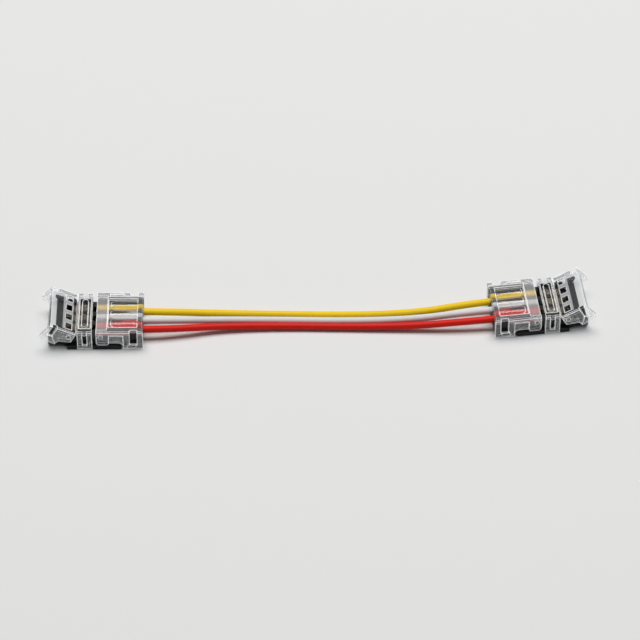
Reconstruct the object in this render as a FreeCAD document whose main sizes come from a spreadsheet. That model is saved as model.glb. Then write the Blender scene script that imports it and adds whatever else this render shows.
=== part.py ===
"""LED strip connector lead.

Two clip-on connectors for a 10 mm wide, three-way LED strip, joined by three short wires.
Each connector is a black base with three metal contacts, a clear bridge that holds them down,
a clear strip flap that stands open, and a clear wire cover that is closed over the wires.

Millimetres and degrees. The origin is the middle of the left base's flat underside, +X runs
along the wires to the right connector, +Y is across, +Z is up. A connector is modelled with
its wire face towards +X and its strip end towards -X.
"""

import FreeCAD, Part
import math
import os

import Sketcher

SIZES = (
    ("body_width", 13.8, "across the clear side walls"),
    ("body_height", 5.9, "underside to the top of the closed covers"),
    ("foot_length", 18.8, "flat underside, from the wire face"),
    ("heel_length", 2.5, "flat underside beyond the bridge"),
    ("tongue_inset", 0.65, "tongue's end behind the flap's outer end"),
    ("tongue_lift", 0.7, "underside of the tongue above the flat underside"),
    ("tongue_slope", 1.2, "length of the slope up to the tongue's underside"),
    ("floor_height", 1.8, "top of the base's floor"),
    ("lead_in", 0.4, "chamfer where the strip enters"),
    ("sill_height", 1.2, "height of the full-width sills"),
    ("sill_inset", 0.05, "sill face behind the clear side walls"),
    ("base_wall", 0.7, "thickness of the base's side walls"),
    ("side_wall", 0.9, "thickness of the clear side walls"),
    ("side_play", 0.15, "between the base and a clear side wall"),
    ("plate", 1.0, "thickness of the clear top plates"),
    ("ground_gap", 0.3, "underside to the ends of arms and ears"),
    ("fit_gap", 0.1, "between pieces that are snapped together"),
    ("edge_break", 0.3, "broken outer edges of the clear pieces"),
    ("wall_drop", 0.3, "base wall beside the wires, below the top plate"),
    ("gap_drop", 0.3, "base wall in the two hinge gaps, below the pivots"),
    ("rail_drop", 0.1, "base wall beside the strip, below the pivots"),
    ("rail_inset", 0.2, "end of the rail behind the tongue's end"),
    ("rail_chamfer", 0.3, "broken corner of the rail"),
    ("hinge_inset", 1.1, "hinge edge of a cover to its pivot"),
    ("hinge_drop", 0.9, "pivots below the top plates"),
    ("pin_diameter", 1.1, "hinge pins"),
    ("pin_length", 0.45, "hinge pin beyond the base wall"),
    ("pin_play", 0.05, "radial running clearance of the pins"),
    ("pin_end_play", 0.1, "end of a pin to the bottom of its hole"),
    ("knuckle_play", 0.15, "round knuckle to the underside of the plate"),
    ("open_limit", 42.0, "opening at which a hinge edge meets the bridge"),
    ("open_angle", 28.0, "how far the strip flaps stand open"),
    ("stop_play", 0.05, "hinge edge to the bridge at the open limit"),
    ("ear_length", 4.9, "cover's ear along the connector"),
    ("arch_share", 0.4, "share of the arch that its rounded corner takes"),
    ("ear_play", 0.5, "ear to the sill"),
    ("arch_height", 1.9, "lower edge of the cover's side between ear and tab"),
    ("panel_drop", 0.2, "recessed side panel below the top plate"),
    ("panel_depth", 0.35, "depth of the recessed side panel"),
    ("tab_length", 3.1, "cover's hinge tab along the connector"),
    ("tab_height", 1.5, "lower edge of the hinge tab"),
    ("tab_round", 0.8, "rounded corner of the hinge tab"),
    ("clamp_inset", 2.9, "hinge edge to the flat clamp over the wires"),
    ("clamp_depth", 0.8, "clamp below the top plate"),
    ("clamp_play", 0.1, "underside of the clamp above the wires"),
    ("ridge_start", 1.45, "wire face to the ridges' front ends"),
    ("ridge_end_gap", 0.6, "ridges' rounded back ends to the back of the clamp"),
    ("ridge_rise", 0.55, "height of the lens ridges"),
    ("ridge_drop", 0.05, "ridges' crowns below the cover's top"),
    ("ridge_gap", 0.4, "flat valley between two ridges"),
    ("recess_depth", 0.4, "recess of the cover beside the bridge"),
    ("recess_rim", 1.1, "side rim of that recess"),
    ("recess_step", 0.2, "ridges' back ends to that recess"),
    ("cover_window_start", 1.45, "wire face to the cover's latch window"),
    ("cover_window_length", 1.85, "cover's latch window along the connector"),
    ("cover_window_bottom", 1.6, "lower edge of the cover's latch window"),
    ("window_depth", 1.0, "latch windows across, from the outer face"),
    ("nose_side", 0.2, "latch nose to the sides of its window"),
    ("nose_rise", 0.1, "latch nose above the lower edge of its window"),
    ("nose_height", 0.7, "height of a latch nose"),
    ("nose_land", 0.2, "flat front of a latch nose"),
    ("nose_reach", 0.45, "latch nose beyond the base wall"),
    ("track_play", 0.15, "latch nose to the sides of its track"),
    ("flap_length", 6.9, "top plate of the strip flap"),
    ("flap_flare", 0.8, "outer end of the flap's side leaning out"),
    ("flap_heel_depth", 1.0, "flap's side at the hinge edge, below the pivot"),
    ("flap_heel_run", 0.85, "hinge edge to the heel's corner"),
    ("flap_heel_drop", 0.35, "heel's corner below the heel"),
    ("flap_arch_run", 2.95, "hinge edge to the end of the flap's arch"),
    ("flap_ear_start", 3.25, "hinge edge to the flap's ear"),
    ("flap_ear_run", 4.9, "hinge edge to the end of the ear's flat edge"),
    ("flap_ear_height", 0.5, "lower edge of the flap's ear"),
    ("flap_toe_height", 1.05, "lower corner of the flap's outer end"),
    ("flap_window_start", 5.0, "hinge edge to the flap's latch window"),
    ("flap_window_length", 1.25, "flap's latch window along the flap"),
    ("flap_window_drop", 1.25, "lower edge of the flap's latch window, below the pivot"),
    ("grid_start", 1.2, "hinge edge to the row of windows over the contacts"),
    ("grid_length", 1.7, "those windows along the flap"),
    ("pad_width", 1.2, "clear pressing pads between those windows"),
    ("pad_height", 2.6, "lower face of the pressing pads"),
    ("bridge_length", 3.65, "bridge along the connector"),
    ("moat_length", 2.9, "recess in the bridge's top, along the connector"),
    ("moat_rim", 1.6, "side face to that recess"),
    ("moat_depth", 0.5, "depth of that recess"),
    ("pill_gap", 0.65, "ends of the raised rib in the recess to its sides"),
    ("pill_width", 1.5, "raised rib along the connector"),
    ("arm_slot_width", 1.15, "slot in the bridge's arms"),
    ("arm_slot_bottom", 1.25, "lower end of that slot"),
    ("arm_slot_drop", 0.05, "upper end of that slot below the top plate"),
    ("finger_width", 1.6, "fingers that press on the contacts"),
    ("finger_inset", 0.9, "fingers from the bridge's two edges"),
    ("finger_play", 0.05, "fingers above the contacts"),
    ("skirt_thickness", 0.5, "wall that the wires' ends face"),
    ("skirt_bottom", 2.7, "lower edge of that wall"),
    ("slot_width", 2.1, "slots in the wire bed"),
    ("bed_drop", 0.1, "top of the wire bed below the wires' axes"),
    ("comb_length", 0.8, "comb posts at the wire face, along the connector"),
    ("comb_play", 0.1, "tops of the comb posts to the clamp"),
    ("rib_height", 2.5, "low ribs between the contacts"),
    ("contact_width", 2.0, "stamped contact"),
    ("contact_thickness", 0.3, "sheet metal of the contact"),
    ("contact_wire_end", 5.0, "wire face to the contact"),
    ("contact_strip_end", 2.5, "tongue's end to the contact"),
    ("contact_taper", 0.4, "cut corners of the contact"),
    ("strip_tooth_start", 0.4, "strip end of the contact to its first tooth"),
    ("strip_tooth_pitch", 0.8, "teeth for the strip, one to the next"),
    ("strip_tooth_base", 0.7, "width of a strip tooth"),
    ("strip_tooth_tip", 3.2, "tips of the strip teeth"),
    ("wire_tooth_start", 0.6, "wire end of the contact to its first tooth"),
    ("wire_tooth_pitch", 1.4, "teeth for the wire, one to the next"),
    ("wire_tooth_base", 1.0, "width of a wire tooth"),
    ("wire_tooth_bite", 0.2, "tips of the wire teeth above the wires' axes"),
    ("wire_diameter", 1.8, "outside of the insulation"),
    ("conductor_width", 0.94, "six-sided bundle of seven strands, across its corners"),
    ("insulation_play", 0.02, "conductor to its insulation"),
    ("conductor_reach", 0.15, "conductor beyond the cut insulation"),
    ("far_x", 105.3, "right connector's origin"),
    ("far_y", 4.8, "right connector's origin"),
    ("far_turn", 187.5, "right connector about +Z"),
)

# The three lanes, from the far side of the left connector to the near side, by wire colour
LANES = {"yellow": 1, "white": 0, "red": -1}

# A conductor's strands round its middle one
STRANDS_AROUND = 6

# The wires' centre lines, chosen by hand along the photograph, from cut end to cut end
ROUTES = {
    "yellow": (
        (-2.3, 3.1, 3.1),
        (13.0, 3.1, 3.1),
        (33.5, 4.2, 1.0),
        (73.2, 3.6, 1.0),
        (93.1, 6.32, 3.1),
        (107.18, 8.17, 3.1),
    ),
    "white": (
        (-2.3, 0.0, 3.1),
        (13.0, 0.0, 3.1),
        (32.6, 2.25, 1.0),
        (71.6, 1.6, 1.0),
        (92.0, 3.05, 3.1),
        (107.58, 5.1, 3.1),
    ),
    "red": (
        (-2.3, -3.1, 3.1),
        (13.0, -3.1, 3.1),
        (33.0, 0.35, 1.0),
        (72.6, -0.35, 1.0),
        (92.2, -0.05, 3.1),
        (107.98, 2.03, 3.1),
    ),
}

# Places along and across a connector, as expressions of the sheet's sizes
WIRE_FACE = "size.foot_length / 2"
FOOT_END = "-size.foot_length / 2"
OUTER_HALF = "size.body_width / 2"
CAVITY_HALF = f"({OUTER_HALF} - size.side_wall)"
BASE_HALF = f"({CAVITY_HALF} - size.side_play)"
CHANNEL_HALF = f"({BASE_HALF} - size.base_wall)"
PITCH = f"((2 * {CHANNEL_HALF} + size.slot_width) / {len(LANES) + 1})"
OUTER_LANE = f"({len(LANES) // 2} * {PITCH})"
OUTER_DIVIDER = f"({len(LANES)} * {PITCH} / 2)"
CEILING = "(size.body_height - size.plate)"
HINGE_HEIGHT = f"({CEILING} - size.hinge_drop)"
GAP_HEIGHT = f"({HINGE_HEIGHT} - size.gap_drop)"
RAIL_HEIGHT = f"({HINGE_HEIGHT} - size.rail_drop)"
WALL_HEIGHT = f"({CEILING} - size.wall_drop)"
CLAMP_BOTTOM = f"({CEILING} - size.clamp_depth)"
WIRE_AXIS = f"({CLAMP_BOTTOM} - size.clamp_play - size.wire_diameter / 2)"
HINGE_GAP = (
    "(size.hinge_inset * cos(size.open_limit)"
    " + (size.plate + size.hinge_drop) * sin(size.open_limit)"
    " + size.stop_play - size.hinge_inset)"
)
BRIDGE_BACK = f"({FOOT_END} + size.heel_length)"
BRIDGE_FRONT = f"({BRIDGE_BACK} + size.bridge_length)"
BRIDGE_MIDDLE = f"({BRIDGE_FRONT} - size.bridge_length / 2)"
COVER_EDGE = f"({BRIDGE_FRONT} + {HINGE_GAP})"
FLAP_EDGE = f"({BRIDGE_BACK} - {HINGE_GAP})"
FLAP_END = f"({FLAP_EDGE} - size.flap_length)"
TONGUE_END = f"({FLAP_END} + size.tongue_inset)"
COVER_PIVOT = f"({COVER_EDGE} + size.hinge_inset)"
FLAP_PIVOT = f"({FLAP_EDGE} - size.hinge_inset)"
BASE_FACE = f"({WIRE_FACE} - size.fit_gap)"
CLAMP_BACK = f"({COVER_EDGE} + size.clamp_inset)"
NOSE_FACE = f"({BASE_HALF} + size.nose_reach)"
HOLE_BOTTOM = f"({BASE_HALF} + size.pin_length + size.pin_end_play)"
CONTACT_TOP = "(size.floor_height + size.contact_thickness)"

# The latch windows' two ends and lower edges, from the wire face towards the strip end
COVER_WINDOW = (
    f"({WIRE_FACE} - size.cover_window_start)",
    f"({WIRE_FACE} - size.cover_window_start - size.cover_window_length)",
    "size.cover_window_bottom",
)
FLAP_WINDOW = (
    f"({FLAP_EDGE} - size.flap_window_start)",
    f"({FLAP_EDGE} - size.flap_window_start - size.flap_window_length)",
    f"({HINGE_HEIGHT} - size.flap_window_drop)",
)
ARM_SLOT = (
    f"({BRIDGE_MIDDLE} + size.arm_slot_width / 2)",
    f"({BRIDGE_MIDDLE} - size.arm_slot_width / 2)",
    "size.arm_slot_bottom",
)

document = FreeCAD.newDocument("led_strip_connector")
sheet = document.addObject("Spreadsheet::Sheet", "size")
for row, (alias, number, note) in enumerate(SIZES, start=1):
    sheet.set(f"A{row}", alias)
    sheet.set(f"B{row}", str(number))
    sheet.setAlias(f"B{row}", alias)
    sheet.set(f"C{row}", note)
document.recompute()


def value(expression):
    """The number that an expression of the sheet's sizes comes to."""
    return float(sheet.evalExpression(expression))


# Sketches


def bind(drawing, kind, geometry, position, expression):
    """Hold one coordinate of a point, measured from the sketch's origin, to an expression."""
    rule = Sketcher.Constraint(kind, -1, 1, geometry, position, value(expression))
    index = drawing.addConstraint(rule)
    drawing.setExpression(f"Constraints[{index}]", expression)


def draw_edge(drawing, first, last, arc):
    """Add a line, or an arc by way of arc["through"]; give its index and its two end positions."""
    if arc is None:
        return drawing.addGeometry(Part.LineSegment(first, last)), 1, 2
    middle = FreeCAD.Vector(*(value(part) for part in arc["through"]), 0)
    if (middle - first).cross(last - middle).z > 0:
        return drawing.addGeometry(Part.Arc(first, middle, last)), 1, 2
    return drawing.addGeometry(Part.Arc(last, middle, first)), 2, 1


def draw_loop(drawing, corners):
    """Add a closed loop. A corner is (x, y), or (x, y, arc) where an arc leaves it."""
    spots = [FreeCAD.Vector(value(corner[0]), value(corner[1]), 0) for corner in corners]
    edges = []
    for number, corner in enumerate(corners):
        arc = corner[2] if len(corner) > 2 else None
        edges.append(draw_edge(drawing, spots[number], spots[(number + 1) % len(spots)], arc))
    for number, (geometry, start, end) in enumerate(edges):
        following, following_start, _ = edges[(number + 1) % len(edges)]
        drawing.addConstraint(Sketcher.Constraint("Coincident", geometry, end, following, following_start))
        corner = corners[number]
        bind(drawing, "DistanceX", geometry, start, corner[0])
        bind(drawing, "DistanceY", geometry, start, corner[1])
        if len(corner) > 2:
            axis = "DistanceX" if "centre_x" in corner[2] else "DistanceY"
            centre = corner[2].get("centre_x") or corner[2].get("centre_y")
            bind(drawing, axis, geometry, 3, centre)


def draw_circle(drawing, x, y, diameter):
    """Add a circle by its centre and diameter."""
    centre = FreeCAD.Vector(value(x), value(y), 0)
    radius = value(diameter) / 2
    index = drawing.addGeometry(Part.Circle(centre, FreeCAD.Vector(0, 0, 1), radius))
    bind(drawing, "DistanceX", index, 3, x)
    bind(drawing, "DistanceY", index, 3, y)
    rule = drawing.addConstraint(Sketcher.Constraint("Diameter", index, 2 * radius))
    drawing.setExpression(f"Constraints[{rule}]", diameter)


def origin_feature(body, role):
    """One of the body's own origin planes or axes."""
    return next(feature for feature in body.Origin.OriginFeatures if feature.Role == role)


def new_sketch(body, label, plane, offset="0"):
    """A sketch on one of the body's origin planes, moved along the plane's normal."""
    drawing = body.newObject("Sketcher::SketchObject", label)
    drawing.AttachmentSupport = [(origin_feature(body, plane), "")]
    drawing.MapMode = "FlatFace"
    drawing.setExpression("AttachmentOffset.Base.z", offset)
    return drawing


def outline(body, label, plane, loops, offset="0"):
    """A sketch of closed loops."""
    drawing = new_sketch(body, label, plane, offset)
    for corners in loops:
        draw_loop(drawing, corners)
    return drawing


def circles(body, label, plane, centres, diameter, offset="0"):
    """A sketch of equal circles."""
    drawing = new_sketch(body, label, plane, offset)
    for x, y in centres:
        draw_circle(drawing, x, y, diameter)
    return drawing


def box(left, bottom, right, top):
    """The four corners of a rectangle."""
    return ((left, bottom), (right, bottom), (right, top), (left, top))


# Features


def new_body(label):
    """A body of its own, named as its file will be."""
    body = document.addObject("PartDesign::Body", label)
    body.Label = label
    return body


def pad(body, label, profile, length, midplane=False):
    """Add material along the profile's normal, or to both sides of it."""
    feature = body.newObject("PartDesign::Pad", label)
    feature.Profile = profile
    feature.Midplane = midplane
    feature.setExpression("Length", length)
    return feature


def pocket(body, label, profile, length, midplane=False, reverse=False):
    """Cut material against the profile's normal, along it, or to both sides of it."""
    feature = body.newObject("PartDesign::Pocket", label)
    feature.Profile = profile
    feature.Midplane = midplane
    feature.Reversed = reverse
    feature.setExpression("Length", length)
    return feature


def mirror(body, label, features):
    """The same features on the other side of the connector."""
    feature = body.newObject("PartDesign::Mirrored", label)
    feature.Originals = features
    feature.MirrorPlane = (origin_feature(body, "XZ_Plane"), [""])
    body.Tip = feature
    return feature


def across(body, label, features, count):
    """The same features once for each lane, at the contacts' pitch, towards +Y."""
    feature = body.newObject("PartDesign::LinearPattern", label)
    feature.Originals = features
    feature.Direction = (origin_feature(body, "Y_Axis"), [""])
    feature.Mode = "Spacing"
    feature.Occurrences = count
    feature.setExpression("Offset", PITCH)
    body.Tip = feature
    return feature


def latch_track(body, label, pivot, window, side):
    """Cut the track inside an ear, round the pivot, that a latch nose passes through.

    It runs on to twice the open limit, which is past the ear's edge.
    """
    outer_end, inner_end, bottom = window
    if side == "-":
        outer_end, inner_end = inner_end, outer_end
    nose_bottom = f"({bottom} + size.nose_rise)"
    near = (
        f"({side}({inner_end} - {pivot}) + size.nose_side - size.track_play)",
        f"({nose_bottom} + size.nose_height - {HINGE_HEIGHT} + size.track_play)",
    )
    far = (
        f"({side}({outer_end} - {pivot}) - size.nose_side + size.track_play)",
        f"({nose_bottom} - {HINGE_HEIGHT} - size.track_play)",
    )

    def turned(point, angle):
        reach, rise = point
        x = f"{pivot} {side} ({reach} * cos({angle}) + {rise} * sin({angle}))"
        y = f"{HINGE_HEIGHT} + {rise} * cos({angle}) - {reach} * sin({angle})"
        return x, y

    none, half, full = "0", "size.open_limit", "(2 * size.open_limit)"
    inner_arc = {"through": turned(near, half), "centre_x": pivot}
    outer_arc = {"through": turned(far, half), "centre_x": pivot}
    corners = (
        (*turned(near, none), inner_arc),
        turned(near, full),
        (*turned(far, full), outer_arc),
        turned(far, none),
    )
    profile = outline(body, f"{label}Outline", "XZ_Plane", [corners])
    return pocket(body, label, profile, f"2 * ({NOSE_FACE} + size.fit_gap)", midplane=True)


def pin_holes(body, pivot):
    """Cut the blind holes for the two hinge pins in the insides of the side walls."""
    hole = "size.pin_diameter + 2 * size.pin_play"
    profile = circles(body, "PinHoleCircle", "XZ_Plane", [(pivot, HINGE_HEIGHT)], hole)
    return pocket(body, "PinHoles", profile, f"2 * {HOLE_BOTTOM}", midplane=True)


def latch_windows(body, window):
    """Cut the latch windows in both side walls, up through the top edges."""
    outer_end, inner_end, bottom = window
    inside = f"({OUTER_HALF} - size.window_depth)"
    outside = f"({OUTER_HALF} + size.window_depth)"
    loops = [
        box(inner_end, inside, outer_end, outside),
        box(inner_end, f"-{outside}", outer_end, f"-{inside}"),
    ]
    profile = outline(body, "LatchWindowOutline", "XY_Plane", loops, bottom)
    return pocket(body, "LatchWindows", profile, "size.body_height", reverse=True)


# Pieces of a connector


def build_base(label):
    """The black base: floor, tongue, walls, knuckles, pins, sills, latch noses and wire bed."""
    body = new_body(label)
    floor = (
        (BASE_FACE, "0"),
        (BASE_FACE, "size.floor_height"),
        (f"{TONGUE_END} + size.lead_in", "size.floor_height"),
        (TONGUE_END, "size.floor_height - size.lead_in"),
        (TONGUE_END, "size.tongue_lift"),
        (f"{FOOT_END} - size.tongue_slope", "size.tongue_lift"),
        (FOOT_END, "0"),
    )
    profile = outline(body, "FloorOutline", "XZ_Plane", [floor])
    pad(body, "Floor", profile, f"2 * {BASE_HALF}", midplane=True)

    wall = (
        (BASE_FACE, "size.tongue_lift"),
        (BASE_FACE, WALL_HEIGHT),
        (COVER_PIVOT, WALL_HEIGHT),
        (COVER_PIVOT, GAP_HEIGHT),
        (f"{BRIDGE_FRONT} - size.fit_gap", GAP_HEIGHT),
        (f"{BRIDGE_FRONT} - size.fit_gap", CEILING),
        (f"{BRIDGE_BACK} + size.fit_gap", CEILING),
        (f"{BRIDGE_BACK} + size.fit_gap", GAP_HEIGHT),
        (FLAP_PIVOT, GAP_HEIGHT),
        (FLAP_PIVOT, RAIL_HEIGHT),
        (f"{TONGUE_END} + size.rail_inset + size.rail_chamfer", RAIL_HEIGHT),
        (f"{TONGUE_END} + size.rail_inset", f"{RAIL_HEIGHT} - size.rail_chamfer"),
        (f"{TONGUE_END} + size.rail_inset", "size.tongue_lift"),
    )
    profile = outline(body, "WallOutline", "XZ_Plane", [wall], CHANNEL_HALF)
    walls = pad(body, "Wall", profile, "size.base_wall")

    pivots = [(COVER_PIVOT, HINGE_HEIGHT), (FLAP_PIVOT, HINGE_HEIGHT)]
    knuckle = "2 * (size.hinge_drop - size.knuckle_play)"
    profile = circles(body, "KnuckleCircles", "XZ_Plane", pivots, knuckle, CHANNEL_HALF)
    knuckles = pad(body, "Knuckles", profile, "size.base_wall")
    profile = circles(body, "PinCircles", "XZ_Plane", pivots, "size.pin_diameter", CHANNEL_HALF)
    pins = pad(body, "Pins", profile, "size.base_wall + size.pin_length")

    sill_front = f"{WIRE_FACE} - size.ear_length - size.ear_play"
    loops = [
        box(f"{BRIDGE_FRONT} + size.fit_gap", "0", sill_front, "size.sill_height"),
        box(FOOT_END, "0", f"{BRIDGE_BACK} - size.fit_gap", "size.sill_height"),
    ]
    profile = outline(body, "SillOutline", "XZ_Plane", loops, CHANNEL_HALF)
    sills = pad(body, "Sills", profile, f"{OUTER_HALF} - size.sill_inset - {CHANNEL_HALF}")

    noses = [
        latch_nose(body, "CoverNose", COVER_WINDOW),
        latch_nose(body, "BridgeNose", ARM_SLOT),
        latch_nose(body, "FlapNose", FLAP_WINDOW),
    ]
    mirror(body, "OtherSide", [walls, knuckles, pins, sills, *noses])

    bed = divider(body, "Bed", CLAMP_BACK, BASE_FACE, f"{WIRE_AXIS} - size.bed_drop")
    comb_top = f"{CLAMP_BOTTOM} - size.comb_play"
    comb = divider(body, "Comb", f"{BASE_FACE} - size.comb_length", BASE_FACE, comb_top)
    stop_front = f"({BRIDGE_FRONT} + size.fit_gap + size.comb_length)"
    stop = divider(body, "Stop", f"{BRIDGE_FRONT} + size.fit_gap", stop_front, GAP_HEIGHT)
    rib = divider(body, "Rib", FLAP_EDGE, stop_front, "size.rib_height")
    across(body, "Dividers", [bed, comb, stop, rib], len(LANES) + 1)
    return body


def latch_nose(body, label, window):
    """A wedge on the base wall, flat underneath, that catches the lower edge of a window."""
    outer_end, inner_end, bottom = window
    low = f"({bottom} + size.nose_rise)"
    high = f"({low} + size.nose_height)"
    corners = (
        (f"-{CHANNEL_HALF}", low),
        (f"-{NOSE_FACE}", low),
        (f"-{NOSE_FACE}", f"{low} + size.nose_land"),
        (f"-{BASE_HALF}", high),
        (f"-{CHANNEL_HALF}", high),
    )
    start = f"{inner_end} + size.nose_side"
    profile = outline(body, f"{label}Outline", "YZ_Plane", [corners], start)
    return pad(body, label, profile, f"{outer_end} - {inner_end} - 2 * size.nose_side")


def divider(body, label, back, front, top):
    """One outermost divider of the wire bed, from the floor up."""
    half = f"({PITCH} - size.slot_width) / 2"
    left = f"-{OUTER_DIVIDER} - {half}"
    right = f"-{OUTER_DIVIDER} + {half}"
    corners = box(left, "size.tongue_lift", right, top)
    profile = outline(body, f"{label}Outline", "YZ_Plane", [corners], back)
    return pad(body, label, profile, f"{front} - ({back})")


def build_bridge(label):
    """The clear bridge: two arms, three fingers on the contacts, a skirt and a raised rib."""
    body = new_body(label)
    section = (
        (f"-{OUTER_HALF}", "size.ground_gap"),
        (f"-{OUTER_HALF}", "size.body_height - size.edge_break"),
        (f"-{OUTER_HALF} + size.edge_break", "size.body_height"),
        (f"{OUTER_HALF} - size.edge_break", "size.body_height"),
        (OUTER_HALF, "size.body_height - size.edge_break"),
        (OUTER_HALF, "size.ground_gap"),
        (CAVITY_HALF, "size.ground_gap"),
        (CAVITY_HALF, CEILING),
        (f"-{CAVITY_HALF}", CEILING),
        (f"-{CAVITY_HALF}", "size.ground_gap"),
    )
    profile = outline(body, "ArchOutline", "YZ_Plane", [section], BRIDGE_BACK)
    pad(body, "Arch", profile, "size.bridge_length")

    skirt = box(
        f"{BRIDGE_FRONT} - size.skirt_thickness",
        "size.skirt_bottom",
        BRIDGE_FRONT,
        f"{CEILING} + size.fit_gap",
    )
    profile = outline(body, "SkirtOutline", "XZ_Plane", [skirt])
    pad(body, "Skirt", profile, f"2 * ({CHANNEL_HALF} - size.side_play)", midplane=True)

    finger = box(
        f"-{OUTER_LANE} - size.finger_width / 2",
        f"{CONTACT_TOP} + size.finger_play",
        f"-{OUTER_LANE} + size.finger_width / 2",
        f"{CEILING} + size.fit_gap",
    )
    profile = outline(body, "FingerOutline", "YZ_Plane", [finger], f"{BRIDGE_BACK} + size.finger_inset")
    fingers = pad(body, "Finger", profile, "size.bridge_length - 2 * size.finger_inset")
    across(body, "Fingers", [fingers], len(LANES))

    half_moat = f"({OUTER_HALF} - size.moat_rim)"
    half_pill = "size.pill_width / 2"
    straight = f"({half_moat} - size.pill_gap - {half_pill})"
    far_end = {
        "through": (BRIDGE_MIDDLE, f"{straight} + {half_pill}"),
        "centre_y": straight,
    }
    near_end = {
        "through": (BRIDGE_MIDDLE, f"-{straight} - {half_pill}"),
        "centre_y": f"-{straight}",
    }
    pill = (
        (f"{BRIDGE_MIDDLE} + {half_pill}", f"-{straight}"),
        (f"{BRIDGE_MIDDLE} + {half_pill}", straight, far_end),
        (f"{BRIDGE_MIDDLE} - {half_pill}", straight),
        (f"{BRIDGE_MIDDLE} - {half_pill}", f"-{straight}", near_end),
    )
    moat = box(
        f"{BRIDGE_MIDDLE} - size.moat_length / 2",
        f"-{half_moat}",
        f"{BRIDGE_MIDDLE} + size.moat_length / 2",
        half_moat,
    )
    profile = outline(body, "MoatOutline", "XY_Plane", [moat, pill], "size.body_height")
    pocket(body, "Moat", profile, "size.moat_depth")

    outer_end, inner_end, bottom = ARM_SLOT
    slot = box(inner_end, bottom, outer_end, f"{CEILING} - size.arm_slot_drop")
    profile = outline(body, "ArmSlotOutline", "XZ_Plane", [slot], OUTER_HALF)
    slots = pocket(body, "ArmSlot", profile, "size.window_depth")
    mirror(body, "OtherArm", [slots])
    return body


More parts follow.
